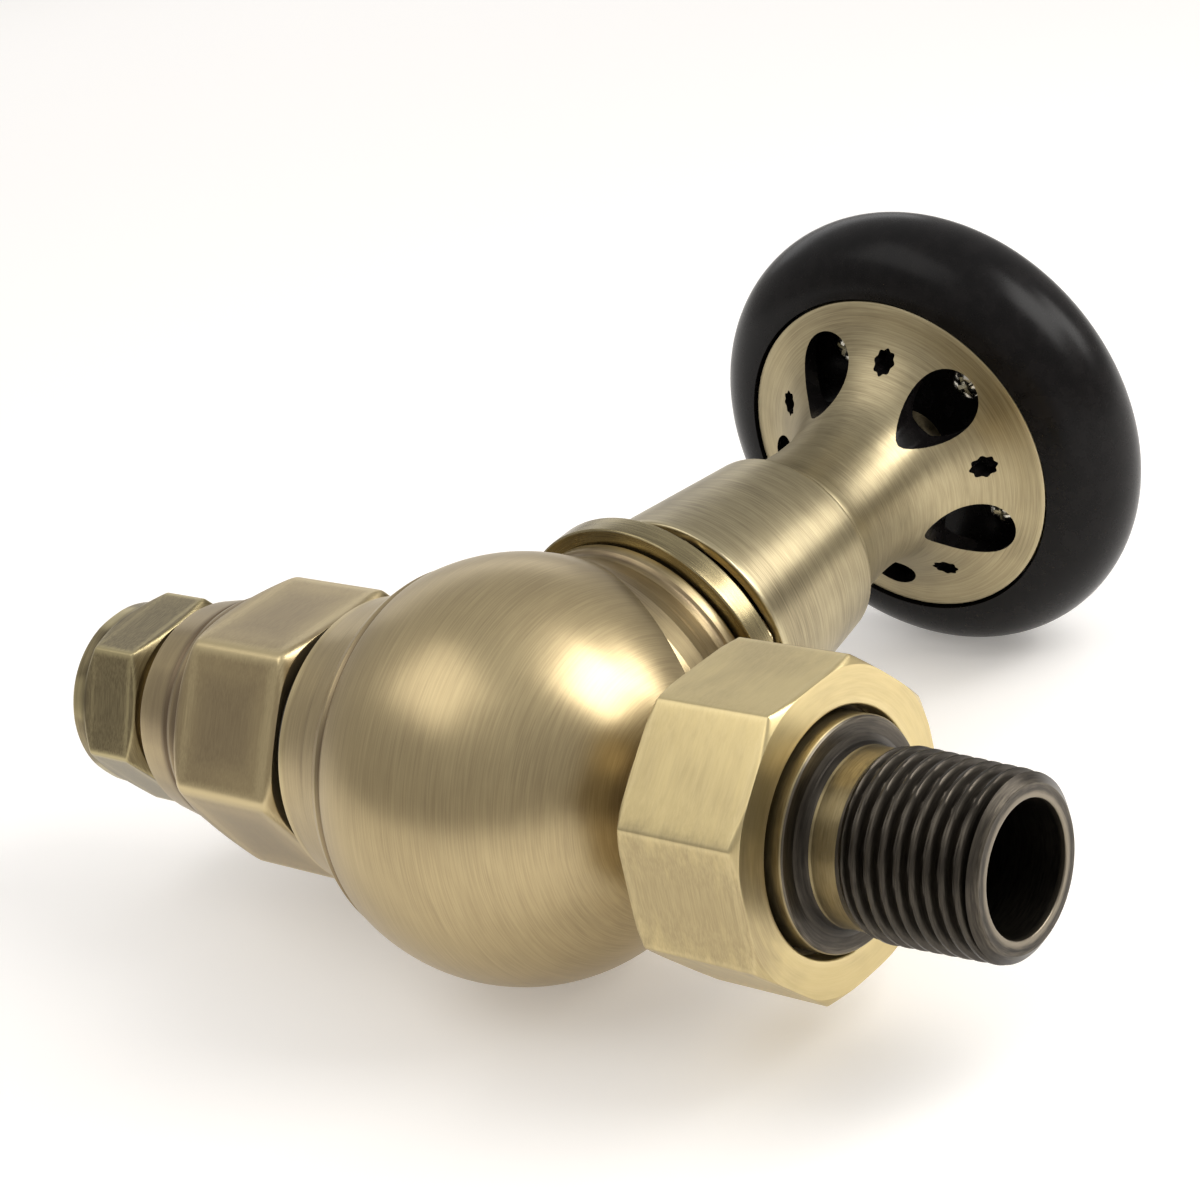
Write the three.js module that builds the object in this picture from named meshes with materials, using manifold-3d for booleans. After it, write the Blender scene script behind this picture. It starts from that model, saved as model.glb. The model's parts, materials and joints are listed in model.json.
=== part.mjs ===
// A traditional straight-pattern radiator valve, laid on its side: a ball-shaped brass body
// with a compression inlet, an octagonal union and threaded tail, and a wheel-turned stem.
// Millimetres. The parts are built in the valve's own axes, with the ball's centre at the
// origin: +X is the flow axis from inlet to tail, +Y is the stem axis towards the handwheel.
// The whole valve is then rolled about +X until ball and wheel rim both touch z = 0.
import * as THREE from 'three';
import { mergeVertices } from 'three/addons/utils/BufferGeometryUtils.js';
import Module from 'manifold-3d';

const wasm = await Module();
wasm.setup();

// ---------- driving dimensions ----------
const BALL_R = 25.7;
const GAP = 0.3; // clearance between pieces that touch or run on each other
const MERGE = 1e-4;
const FINE = 32; // sides of the large turned pieces
const MEDIUM = 24;
const SMALL = 14;

// inlet side, along -X
const BALL_LEFT_X = -10.6; // where the ball ends and the inlet boss begins
const INLET_FACE_X = -23.5;
const INLET_BOSS_R = 17.9;
const SOCKET_R = 13.3; // female threads of the body, inlet and stem alike
const SOCKET_FLOOR_X = -15;
const ADAPTOR_HEX_R = 18.6; // over the corners: 32 mm across the flats
const ADAPTOR_HEX_TURN = 57.4;
const ADAPTOR_FACE_X = -26.4;
const ADAPTOR_HEX_END_X = -44.2;
const COLLAR_END_X = -53.4;
const COLLAR_END_R = 13.7;
const COMPRESSION_THREAD_R = 10.2;
const ADAPTOR_END_X = -62.2;
const WATERWAY_R = 6.5;
const PIPE_SOCKET_R = 7.75; // takes 15 mm pipe
const PIPE_STOP_X = -45;
const NUT_HEX_R = 13.8; // compression nut, over the corners: 24 mm across the flats
const NUT_HEX_TURN = 2.6;
const NUT_NEAR_X = -56.4;
const NUT_FAR_X = -69;
const OLIVE_R = 9.6;

// outlet side, along +X
const OUTLET_NECK_R = 10;
const PLUG_X = 30;
const SPIGOT_R = 16;
const SPIGOT_END_X = 38;
const OUTLET_R = 8;
const UNION_R = 19.55; // octagon, over the corners: 36 mm across the flats
const UNION_TURN = 18.9;
const UNION_BACK_X = 30.4;
const UNION_FRONT_X = 46.6;
const UNION_LIP = 3.1;
const UNION_MOUTH_R = 14;
const TAIL_COLLAR_R = 15.2;
const TAIL_BACK_X = 39.6;
const TAIL_FLANGE_R = 13.2;
const TAIL_FLANGE_X = 48.1;
const TAIL_NECK_R = 10;
const TAIL_END_X = 70;
const TAIL_BORE_R = 7.5;
const THREAD_R = 10.27; // half-inch taper pipe thread, crest radius at its first full turn
const THREAD_PITCH = 1.814;
const THREAD_DEPTH = 1.05;
const THREAD_TURNS = 9;
const THREAD_TAPER = 1 / 32;
const THREAD_START_X = 69.1;

// stem side, along +Y
const BOSS_TOP_Y = 23.7;
const BOSS_R = 17.4;
const CHAMBER_R = 10.2;
const CHAMBER_FLOOR_Y = 2;
const SEAL_SHELF_Y = 10;
const SEAT_R = 7;
const SEAT_TOP_Y = 3.2;
const RING_R = 19.1;
const RING_BOTTOM_Y = 24.1;
const RING_TOP_Y = 27.5;
const BONNET_HEX_R = 15.9;
const BONNET_HEX_TURN = 20.5;
const BONNET_HEX_TOP_Y = 31.3;
const SPINDLE_R = 4;
const GLAND_Y = 42.3;
const SHROUD_NEAR_Y = 31.6;
const SHROUD_NEAR_R = 16.1;
const SHROUD_FAR_Y = 54.4;
const SHROUD_FAR_R = 13.35;
const SHROUD_WALL = 1.3;
const NECK_R = 11.7; // handwheel hub where it leaves the shroud
const HUB_RIM_R = 22.95;
const RIM_Y = 88.9; // centre plane of the handwheel rim
const RIM_CENTRE_R = 23.1;
const RIM_TUBE_R = 8.42;
const WHEEL_HOLES = 5;
const SMALL_HOLE_TURN = 5; // bearing of the first small hole from +X, towards +Z
const SMALL_HOLE_RING_R = 16.2;
const SMALL_HOLE_R = 1.45;
const SCREW_RING_R = 16;

// ---------- solids ----------
// A closed geometry as a manifold-3d solid, without its zero-area triangles.
function toSolid(geometry) {
  const bare = geometry.clone();
  bare.deleteAttribute('normal');
  bare.deleteAttribute('uv');
  const merged = mergeVertices(bare, MERGE);
  const corners = merged.index.array;
  const kept = [];
  for (let i = 0; i < corners.length; i += 3) {
    const [a, b, c] = corners.slice(i, i + 3);
    if (a !== b && b !== c && c !== a) kept.push(a, b, c);
  }
  const vertProperties = new Float32Array(merged.attributes.position.array);
  const triVerts = new Uint32Array(kept);
  return new wasm.Manifold(new wasm.Mesh({ numProp: 3, vertProperties, triVerts }));
}

function toGeometry(solid) {
  const mesh = solid.getMesh();
  const geometry = new THREE.BufferGeometry();
  geometry.setAttribute('position', new THREE.BufferAttribute(mesh.vertProperties, 3));
  geometry.setIndex(new THREE.BufferAttribute(mesh.triVerts, 1));
  return geometry;
}

// A lathe geometry about +Y from [along, radius] points; the outline closes on itself.
function latheGeometry(profile, sides) {
  const points = profile.map(([along, radius]) => new THREE.Vector2(radius, along));
  let area = 0;
  points.forEach((p, i) => {
    area += p.cross(points[(i + 1) % points.length]);
  });
  if (area < 0) points.reverse();
  points.push(points[0].clone());
  return new THREE.LatheGeometry(points, sides);
}

const turnY = (profile, sides = MEDIUM) => toSolid(latheGeometry(profile, sides));

const turnX = (profile, sides = MEDIUM) =>
  toSolid(latheGeometry(profile, sides).rotateZ(-Math.PI / 2));

// Plain rods and holes between two places along an axis.
const rodOutline = (from, to, r) => [[from, 0], [from, r], [to, r], [to, 0]];
const rodX = (from, to, r, sides = MEDIUM) => turnX(rodOutline(from, to, r), sides);
const rodY = (from, to, r, sides = MEDIUM) => turnY(rodOutline(from, to, r), sides);

// A regular prism about +Y; turn is the bearing of one corner from +Z towards +X, in degrees.
function prismY(corners, from, to, cornerRadius, turn) {
  const prism = new THREE.CylinderGeometry(cornerRadius, cornerRadius, to - from, corners);
  prism.rotateY(THREE.MathUtils.degToRad(turn));
  prism.translate(0, (from + to) / 2, 0);
  return toSolid(prism);
}

// The same about +X; turn is the bearing of one corner from +Y towards +Z, in degrees.
function prismX(corners, from, to, cornerRadius, turn) {
  const prism = new THREE.CylinderGeometry(cornerRadius, cornerRadius, to - from, corners);
  prism.rotateZ(-Math.PI / 2);
  prism.rotateX(THREE.MathUtils.degToRad(turn - 90));
  prism.translate((from + to) / 2, 0, 0);
  return toSolid(prism);
}

const cut = (solid, ...tools) => tools.reduce((left, tool) => left.subtract(tool), solid);
const join = (solid, ...more) => more.reduce((sum, piece) => sum.add(piece), solid);

// Points of an arc as [along, radius], with angles in degrees from the outward radius.
function arc(along, radius, r, from, to, steps) {
  const points = [];
  for (let i = 0; i <= steps; i += 1) {
    const angle = THREE.MathUtils.degToRad(from + ((to - from) * i) / steps);
    points.push([along + r * Math.sin(angle), radius + r * Math.cos(angle)]);
  }
  return points;
}

// An O-ring or similar: a round section of radius r on a circle of radius ring.
const roundRing = (along, ring, r) => arc(along, ring, r, 0, 315, 7);

// ---------- materials ----------
function metal(color, roughness) {
  return new THREE.MeshStandardMaterial({ color, roughness, metalness: 1 });
}
const antiqueBrass = metal(0x9c8e62, 0.38);
const lightBrass = metal(0xb8a86c, 0.36);
const oliveBrass = metal(0x6b6140, 0.4);
const gunmetal = metal(0x3f3b35, 0.42);
const rawBrass = metal(0xc6a95a, 0.3);
const nickel = metal(0xc9c7bf, 0.25);
const blackLacquer = new THREE.MeshStandardMaterial({ color: 0x17130f, roughness: 0.35 });
const rubber = new THREE.MeshStandardMaterial({ color: 0x141414, roughness: 0.8 });
const packingMaterial = new THREE.MeshStandardMaterial({ color: 0xd9d4c4, roughness: 0.8 });

const valve = new THREE.Group();

function addNode(name, solid, material) {
  const mesh = new THREE.Mesh(toGeometry(solid), material);
  mesh.name = name;
  valve.add(mesh);
}

// ---------- body ----------
function ballAndInletBoss() {
  const leftAngle = THREE.MathUtils.radToDeg(Math.asin(BALL_LEFT_X / BALL_R));
  const groove = [[-13.7, 21.2], [-13.5, 20.6], [-11.4, 22.2], [BALL_LEFT_X - 0.2, 23.2]];
  return turnX([
    [INLET_FACE_X, 0], [INLET_FACE_X, INLET_BOSS_R - 0.6], [-23, INLET_BOSS_R],
    [-17.8, 19], [-17.4, 19.6], ...groove,
    ...arc(0, 0, BALL_R, leftAngle, 90, 11),
  ], FINE);
}

// The outlet's narrow neck, and the plug behind it that the union nut screws on.
const spigot = () => turnX([
  [20, 0], [20, OUTLET_NECK_R], [26, OUTLET_NECK_R], [28, OUTLET_NECK_R + 2.4],
  [PLUG_X, SPIGOT_R], [SPIGOT_END_X - 0.8, SPIGOT_R], [SPIGOT_END_X, SPIGOT_R - 0.8],
  [SPIGOT_END_X, 0],
], FINE);

// The flat beside the stem boss, on the outlet side: the ball is cut off beyond this plane.
function bossFlat() {
  const size = 60;
  const distance = 14.1;
  const normal = new THREE.Vector3(0.352, 0.93, -0.11).normalize();
  const block = new THREE.BoxGeometry(size, size, size);
  block.translate(0, distance + size / 2, 0);
  const tilt = new THREE.Quaternion().setFromUnitVectors(new THREE.Vector3(0, 1, 0), normal);
  return toSolid(block.applyQuaternion(tilt));
}

function stemBoss() {
  return turnY([
    [0, 0], [0, 21], [8, 22], [12, 21.4], [15.9, 20.2], [18.2, 18.9], [20.4, 18],
    [22.4, 17.3], [22.9, BOSS_R], [BOSS_TOP_Y, BOSS_R], [BOSS_TOP_Y, 0],
  ], FINE);
}

// A round passage between two points in the plane of the flow and stem axes.
function passage(from, to, r) {
  const start = new THREE.Vector3(...from, 0);
  const end = new THREE.Vector3(...to, 0);
  const along = end.clone().sub(start);
  const rod = new THREE.CylinderGeometry(r, r, along.length(), SMALL);
  const turn = new THREE.Quaternion().setFromUnitVectors(
    new THREE.Vector3(0, 1, 0), along.clone().normalize());
  rod.applyQuaternion(turn);
  const middle = start.lerp(end, 0.5);
  return toSolid(rod.translate(middle.x, middle.y, middle.z));
}

// Inlet socket, down to the chamber under the seat, up through it, and out to the spigot.
function buildBody() {
  const flatSide = cut(ballAndInletBoss(), bossFlat());
  const seatLip = turnY([
    [CHAMBER_FLOOR_Y - 1, SEAT_R - 1], [CHAMBER_FLOOR_Y - 1, SEAT_R + 2],
    [CHAMBER_FLOOR_Y, SEAT_R + 2], [SEAT_TOP_Y, SEAT_R + 1], [SEAT_TOP_Y, SEAT_R - 1],
  ]);
  const lowerChamberTop = -1.5;
  const hollow = cut(
    join(flatSide, stemBoss(), spigot()),
    rodX(INLET_FACE_X - 1, SOCKET_FLOOR_X, SOCKET_R),
    passage([-17, -2.3], [-3, -12], 6),
    rodY(-16, lowerChamberTop, 8.5),
    rodY(CHAMBER_FLOOR_Y, SEAL_SHELF_Y + 1, CHAMBER_R),
    rodY(SEAL_SHELF_Y, BOSS_TOP_Y + 1, SOCKET_R),
    rodX(14, SPIGOT_END_X + 1, OUTLET_R),
    passage([9.2, 6], [18, 6], 3.8),
  );
  return cut(join(hollow, seatLip), rodY(lowerChamberTop - 1, SEAT_TOP_Y + 1, SEAT_R));
}

// ---------- inlet ----------
function buildAdaptor() {
  const chamfer = 1.7;
  const hexEnvelope = turnX([
    [ADAPTOR_FACE_X, 0], [ADAPTOR_FACE_X, ADAPTOR_HEX_R - chamfer],
    [ADAPTOR_FACE_X - 0.9, ADAPTOR_HEX_R + 0.1], [ADAPTOR_HEX_END_X + 2.2, ADAPTOR_HEX_R + 0.1],
    [ADAPTOR_HEX_END_X, ADAPTOR_HEX_R - chamfer - 0.8], [ADAPTOR_HEX_END_X, 0],
  ], FINE);
  const hex = prismX(
    6, ADAPTOR_HEX_END_X - 1, ADAPTOR_FACE_X + 1, ADAPTOR_HEX_R, ADAPTOR_HEX_TURN);
  const shankR = SOCKET_R - GAP;
  const neckR = shankR + 1.3;
  const collar = turnX([
    [ADAPTOR_END_X, 0], [ADAPTOR_END_X, COMPRESSION_THREAD_R], [COLLAR_END_X, COMPRESSION_THREAD_R],
    [COLLAR_END_X, COLLAR_END_R - 0.5], [COLLAR_END_X + 0.5, COLLAR_END_R],
    [-48, 14.7], [-47.4, 14.9], [-46.9, 14.5], [-46.4, 15.4], [ADAPTOR_HEX_END_X - 0.6, 15.9],
    [ADAPTOR_HEX_END_X, 15.5], [ADAPTOR_FACE_X - 1, 15.5], [ADAPTOR_FACE_X - 1, neckR],
    [INLET_FACE_X - GAP, neckR], [INLET_FACE_X - GAP, shankR],
    [SOCKET_FLOOR_X - 2 * GAP, shankR], [SOCKET_FLOOR_X - 2 * GAP, 0],
  ], FINE);
  return cut(
    join(hex.intersect(hexEnvelope), collar),
    rodX(ADAPTOR_END_X - 1, PIPE_STOP_X, PIPE_SOCKET_R),
    rodX(PIPE_STOP_X - 1, SOCKET_FLOOR_X + 1, WATERWAY_R),
    oliveCone(),
  );
}

// The coned mouth of the pipe socket, which the olive wedges into.
const oliveCone = () => turnX([
  [ADAPTOR_END_X - 1, 0], [ADAPTOR_END_X - 1, OLIVE_R], [ADAPTOR_END_X + 2.6, 7], [-57, 0],
], SMALL);

function buildOlive() {
  const bore = PIPE_SOCKET_R + 0.1;
  const nutShoulder = -66.6;
  return turnX([
    [nutShoulder, bore], [nutShoulder, bore + 0.4], [-65, OLIVE_R - 0.4],
    [-64.4, OLIVE_R - 0.4], [ADAPTOR_END_X - 0.3, bore + 0.6], [ADAPTOR_END_X - 0.3, bore],
  ]);
}

function buildCompressionNut() {
  const flats = NUT_HEX_R * Math.cos(Math.PI / 6);
  const envelope = turnX([
    [NUT_NEAR_X, 0], [NUT_NEAR_X, flats - 0.2], [NUT_NEAR_X - 1.2, NUT_HEX_R + 0.1],
    [-64.5, NUT_HEX_R + 0.1], [-66.2, flats], [-68.4, flats], [NUT_FAR_X, flats - 0.6],
    [NUT_FAR_X, 0],
  ], FINE);
  const hex = prismX(6, -66.4, NUT_NEAR_X + 1, NUT_HEX_R, NUT_HEX_TURN);
  const farCollar = rodX(NUT_FAR_X - 1, -66, flats + 1, FINE);
  const innerShoulder = -66.9;
  return cut(
    join(hex, farCollar).intersect(envelope),
    rodX(innerShoulder, NUT_NEAR_X + 1, COMPRESSION_THREAD_R + GAP),
    rodX(NUT_FAR_X - 1, NUT_NEAR_X, PIPE_SOCKET_R + 0.1),
  );
}

function buildInlet() {
  addNode('inlet_adaptor', buildAdaptor(), antiqueBrass);
  const ringX = (ADAPTOR_FACE_X + INLET_FACE_X) / 2;
  addNode('inlet_o_ring', turnX(roundRing(ringX, SOCKET_R + 2.1, 0.75)), rubber);
  addNode('olive', buildOlive(), rawBrass);
  addNode('compression_nut', buildCompressionNut(), oliveBrass);
}

// ---------- union and tail ----------
function buildUnionNut() {
  const chamfer = 1.2;
  const envelope = turnX([
    [UNION_BACK_X, 0], [UNION_BACK_X, UNION_R - 0.7], [UNION_BACK_X + 0.5, UNION_R + 0.1],
    [UNION_FRONT_X - 0.9, UNION_R + 0.1], [UNION_FRONT_X, UNION_R - chamfer],
    [UNION_FRONT_X, 0],
  ], FINE);
  const octagon = prismX(8, UNION_BACK_X - 1, UNION_FRONT_X + 1, UNION_R, UNION_TURN);
  return cut(
    octagon.intersect(envelope),
    rodX(UNION_BACK_X - 1, UNION_FRONT_X - UNION_LIP, SPIGOT_R + GAP, FINE),
    rodX(UNION_BACK_X, UNION_FRONT_X + 1, UNION_MOUTH_R, FINE),
  );
}

// One groove after another down the tail, each crest a little larger than the one before.
function threadOutline() {
  const points = [];
  for (let turn = 0; turn < THREAD_TURNS; turn += 1) {
    const x = THREAD_START_X - turn * THREAD_PITCH;
    const crest = THREAD_R + THREAD_TAPER * turn * THREAD_PITCH;
    points.push([x, crest], [x - THREAD_PITCH / 2, crest - THREAD_DEPTH]);
  }
  return points;
}

function buildTail() {
  const threadEndX = THREAD_START_X - THREAD_TURNS * THREAD_PITCH;
  const collarTopX = UNION_FRONT_X - UNION_LIP - GAP;
  return turnX([
    [TAIL_END_X, TAIL_BORE_R], [TAIL_END_X, THREAD_R - 1.1], ...threadOutline(),
    [threadEndX - 0.2, TAIL_NECK_R], [TAIL_FLANGE_X + 1.2, TAIL_NECK_R],
    [TAIL_FLANGE_X + 0.3, TAIL_NECK_R + 0.4], [TAIL_FLANGE_X, TAIL_NECK_R + 1.1],
    [TAIL_FLANGE_X, TAIL_FLANGE_R - 0.4], [TAIL_FLANGE_X - 0.4, TAIL_FLANGE_R],
    [collarTopX, TAIL_FLANGE_R], [collarTopX, TAIL_COLLAR_R],
    [TAIL_BACK_X, TAIL_COLLAR_R], [TAIL_BACK_X, TAIL_BORE_R],
  ]);
}

function buildOutlet() {
  addNode('union_nut', buildUnionNut(), lightBrass);
  addNode('tail', buildTail(), gunmetal);
  const sealInnerR = 9.4;
  addNode('tail_seal', turnX([
    [SPIGOT_END_X + GAP, sealInnerR], [SPIGOT_END_X + GAP, TAIL_COLLAR_R - 0.4],
    [TAIL_BACK_X - GAP, TAIL_COLLAR_R - 0.4], [TAIL_BACK_X - GAP, sealInnerR],
  ]), rubber);
}

// ---------- stem ----------
const CARRIER_BORE_R = SPINDLE_R + GAP;
const CARRIER_HEX_R = 9.3; // slides in a six-sided bore, so that it cannot turn
const BONNET_BOTTOM_Y = 12;
const BONNET_CAVITY_R = CARRIER_HEX_R + 0.45;
const SHOULDER_Y = 26.3; // the spindle's collar bears up against this
const PACKING_Y = 37.8;
const PACKING_R = 7;
const BONNET_TOP_Y = 46;
const BONNET_NECK_R = 10;

function buildBonnet() {
  const shankR = SOCKET_R - GAP;
  const envelope = turnY([
    [RING_TOP_Y + GAP, 0], [RING_TOP_Y + GAP, BONNET_HEX_R], [BONNET_HEX_TOP_Y - 0.6, BONNET_HEX_R],
    [BONNET_HEX_TOP_Y, BONNET_HEX_R - 0.9], [BONNET_HEX_TOP_Y, 0],
  ]);
  const hex = prismY(
    6, RING_TOP_Y, BONNET_HEX_TOP_Y + 1, BONNET_HEX_R, BONNET_HEX_TURN);
  const barrel = turnY([
    [BONNET_BOTTOM_Y, 0], [BONNET_BOTTOM_Y, shankR], [RING_TOP_Y + 1, shankR],
    [RING_TOP_Y + 1, BONNET_NECK_R], [BONNET_TOP_Y, BONNET_NECK_R], [BONNET_TOP_Y, 0],
  ]);
  return cut(
    join(hex.intersect(envelope), barrel),
    prismY(6, BONNET_BOTTOM_Y - 1, SHOULDER_Y, BONNET_CAVITY_R, BONNET_HEX_TURN),
    rodY(SHOULDER_Y - 1, BONNET_TOP_Y + 1, SPINDLE_R + GAP, SMALL),
    rodY(PACKING_Y - GAP, BONNET_TOP_Y + 1, PACKING_R + GAP),
  );
}

// The nut's skirt screws into the bonnet and squeezes the packing down on the spindle.
function buildGlandNut() {
  const hexR = 9.8;
  const topY = 50.5;
  return cut(
    join(
      rodY(GLAND_Y, BONNET_TOP_Y + 1, PACKING_R, MEDIUM),
      prismY(6, BONNET_TOP_Y + GAP, topY, hexR, 0),
    ),
    rodY(GLAND_Y - 1, topY + 1, SPINDLE_R + GAP, SMALL),
  );
}

const SPINDLE_BOTTOM_Y = 14.9;
const HUB_FLOOR_Y = 76.4; // inner end of the hub, under its fixing screw
const DISC_BOTTOM_Y = 6.5;
const DISC_TOP_Y = 9;

function buildSpindle() {
  const collarR = 6.5;
  const collarY = SHOULDER_Y - GAP;
  const threadR = SPINDLE_R - 0.3;
  const driveR = SPINDLE_R - 0.8;
  const driveY = 58;
  const topY = HUB_FLOOR_Y - 1;
  const rod = turnY([
    [SPINDLE_BOTTOM_Y, 0], [SPINDLE_BOTTOM_Y, threadR - 0.6], [SPINDLE_BOTTOM_Y + 0.6, threadR],
    [collarY - 1.8, threadR], [collarY - 1.8, collarR], [collarY, collarR],
    [collarY, SPINDLE_R],
    [driveY, SPINDLE_R], [driveY, driveR], [topY, driveR], [topY, 0],
  ], SMALL);
  return cut(rod, rodY(topY - 9, topY + 1, 1.9, SMALL));
}

// Holds the seat disc, and rides up and down the spindle's thread.
function buildCarrier() {
  const topY = 20.4;
  const boreFloorY = 11.6;
  const stud = rodY(4.2, DISC_TOP_Y + 1, 1.7, SMALL);
  const cup = cut(
    prismY(6, DISC_TOP_Y + GAP, topY, CARRIER_HEX_R, BONNET_HEX_TURN),
    rodY(boreFloorY, topY + 1, CARRIER_BORE_R, SMALL),
  );
  return join(cup, stud);
}

function buildShroud() {
  const slope = (SHROUD_FAR_R - SHROUD_NEAR_R) / (SHROUD_FAR_Y - SHROUD_NEAR_Y);
  const wallR = (y) => SHROUD_NEAR_R + slope * (y - SHROUD_NEAR_Y);
  const lipR = NECK_R + 0.4;
  const crownY = SHROUD_FAR_Y - 1.4;
  return turnY([
    [SHROUD_NEAR_Y, wallR(SHROUD_NEAR_Y) - SHROUD_WALL],
    [SHROUD_NEAR_Y, wallR(SHROUD_NEAR_Y) - 0.4],
    [SHROUD_NEAR_Y + 0.4, wallR(SHROUD_NEAR_Y + 0.4)],
    ...arc(SHROUD_FAR_Y - 0.7, wallR(SHROUD_FAR_Y) - 0.6, 0.7, 0, 90, 3),
    [SHROUD_FAR_Y, lipR], [crownY, lipR], [crownY, wallR(crownY) - SHROUD_WALL],
  ], FINE);
}

function buildStem() {
  addNode('collar_ring', turnY([
    [RING_BOTTOM_Y, SOCKET_R], [RING_BOTTOM_Y, RING_R - 0.3], [RING_BOTTOM_Y + 0.3, RING_R],
    [RING_TOP_Y - 0.5, RING_R], [RING_TOP_Y, RING_R - 0.5], [RING_TOP_Y, SOCKET_R],
  ], FINE), antiqueBrass);
  addNode('bonnet', buildBonnet(), oliveBrass);
  addNode('bonnet_seal', turnY([
    [SEAL_SHELF_Y + GAP, CHAMBER_R + GAP], [SEAL_SHELF_Y + GAP, SOCKET_R - GAP],
    [BONNET_BOTTOM_Y - GAP, SOCKET_R - GAP], [BONNET_BOTTOM_Y - GAP, CHAMBER_R + GAP],
  ]), rubber);
  addNode('gland_packing', turnY([
    [PACKING_Y, SPINDLE_R + GAP], [PACKING_Y, PACKING_R],
    [GLAND_Y - GAP, PACKING_R], [GLAND_Y - GAP, SPINDLE_R + GAP],
  ]), packingMaterial);
  addNode('gland_nut', buildGlandNut(), rawBrass);
  addNode('spindle', buildSpindle(), rawBrass);
  addNode('disc_carrier', buildCarrier(), rawBrass);
  const discR = 8.8;
  addNode('seat_disc', turnY([
    [DISC_BOTTOM_Y, 2], [DISC_BOTTOM_Y, discR - 0.4], [DISC_BOTTOM_Y + 0.4, discR],
    [DISC_TOP_Y, discR], [DISC_TOP_Y, 2],
  ]), rubber);
  addNode('disc_nut', cut(
    prismY(6, 4.4, DISC_BOTTOM_Y - GAP, 3.6, 0), rodY(4, DISC_BOTTOM_Y, 2, SMALL),
  ), rawBrass);
  addNode('shroud', buildShroud(), antiqueBrass);
}

// ---------- handwheel ----------
// An egg-shaped outline in the plane across the stem, its narrow end towards the axis.
function eggHole(turn) {
  const tip = { centre: 13.5, r: 2 };
  const broad = { centre: 15.6, r: 4.4 };
  const lean = Math.acos((tip.r - broad.r) / (broad.centre - tip.centre + 0.4));
  const shape = new THREE.Shape();
  shape.absarc(broad.centre, 0, broad.r, -lean, lean, false);
  shape.absarc(tip.centre, 0, tip.r, lean, -lean, false);
  return alongStem(shape, turn);
}

// A small round hole between two of the large ones.
function roundHole(turn) {
  const shape = new THREE.Shape();
  shape.absarc(SMALL_HOLE_RING_R, 0, SMALL_HOLE_R, 0, 2 * Math.PI, false);
  return alongStem(shape, turn);
}

// Pushes a flat outline through the hub wall along the stem, at a bearing in degrees.
function alongStem(shape, turn) {
  const bottomY = 66;
  const depth = 20;
  const tool = new THREE.ExtrudeGeometry(shape, { depth, bevelEnabled: false, curveSegments: 5 });
  tool.rotateX(Math.PI / 2);
  tool.translate(0, bottomY + depth, 0);
  tool.rotateY(THREE.MathUtils.degToRad(-turn));
  return toSolid(tool);
}

const wheelBearings = (first) =>
  Array.from({ length: WHEEL_HOLES }, (unused, i) => first + (i * 360) / WHEEL_HOLES);

function buildHub() {
  const wall = 2;
  const rimFaceY = 80.6;
  const outer = [
    [52.2, NECK_R], [56, NECK_R], [59, 11], [63, 10.5], [67, 10.5], [70, 10.9], [72.6, 11.7],
    [75, 13.2], [77, 15.1], [78.6, 17.1], [79.8, 19.4], [80.4, 21.3], [rimFaceY, HUB_RIM_R - 0.3],
    [rimFaceY + 0.4, HUB_RIM_R], [rimFaceY + wall, HUB_RIM_R],
  ];
  const inner = [
    [rimFaceY + wall, 20.6], [82, 18.6], [80.9, 16.4], [79.2, 14.3], [77.4, 12.6], [76.4, 11.6],
  ];
  const shell = turnY(
    [[52.2, 0], ...outer, ...inner, [HUB_FLOOR_Y, 0]], FINE);
  const holes = [
    ...wheelBearings(SMALL_HOLE_TURN + 180 / WHEEL_HOLES).map(eggHole),
    ...wheelBearings(SMALL_HOLE_TURN).map(roundHole),
  ];
  const bore = rodY(51, HUB_FLOOR_Y + 1, SPINDLE_R + GAP, SMALL);
  return cut(shell, bore, ...holes);
}

const WEB_BACK_Y = 85;
const WEB_FRONT_Y = 88;
const COVER_R = 18.5;

function buildRim() {
  const recessR = HUB_RIM_R + GAP;
  const frontR = COVER_R + GAP;
  const backAngle = THREE.MathUtils.radToDeg(Math.asin(-1)) + 2;
  const frontAngle = THREE.MathUtils.radToDeg(
    Math.PI - Math.acos((RIM_CENTRE_R - frontR) / RIM_TUBE_R));
  const centreHole = 5;
  const rim = turnY([
    [WEB_BACK_Y, centreHole], [WEB_BACK_Y, recessR],
    ...arc(RIM_Y, RIM_CENTRE_R, RIM_TUBE_R, backAngle, frontAngle, 12),
    [WEB_FRONT_Y, frontR], [WEB_FRONT_Y, centreHole],
  ], 40);
  const holes = wheelBearings(SMALL_HOLE_TURN + 180 / WHEEL_HOLES).map((turn) =>
    screwAt(turn, rodY(WEB_BACK_Y - 1, WEB_FRONT_Y + 1, 1.5, 8)));
  return cut(rim, ...holes);
}

// Carries a solid made on the stem axis out to the ring of screws, at a bearing in degrees.
function screwAt(turn, solid) {
  const angle = THREE.MathUtils.degToRad(turn);
  return solid.translate([SCREW_RING_R * Math.cos(angle), 0, SCREW_RING_R * Math.sin(angle)]);
}

function buildCover() {
  const bottomY = WEB_FRONT_Y + GAP;
  const dome = turnY([
    [bottomY, 0], [bottomY, COVER_R], [bottomY + 3, COVER_R], [bottomY + 3.8, COVER_R - 0.9],
    [bottomY + 5, 13], [bottomY + 5.9, 7], [bottomY + 6.2, 0],
  ], FINE);
  const holes = wheelBearings(SMALL_HOLE_TURN + 180 / WHEEL_HOLES).map((turn) =>
    screwAt(turn, rodY(bottomY - 1, bottomY + 3, 1.5, 8)));
  return cut(dome, ...holes);
}

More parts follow.
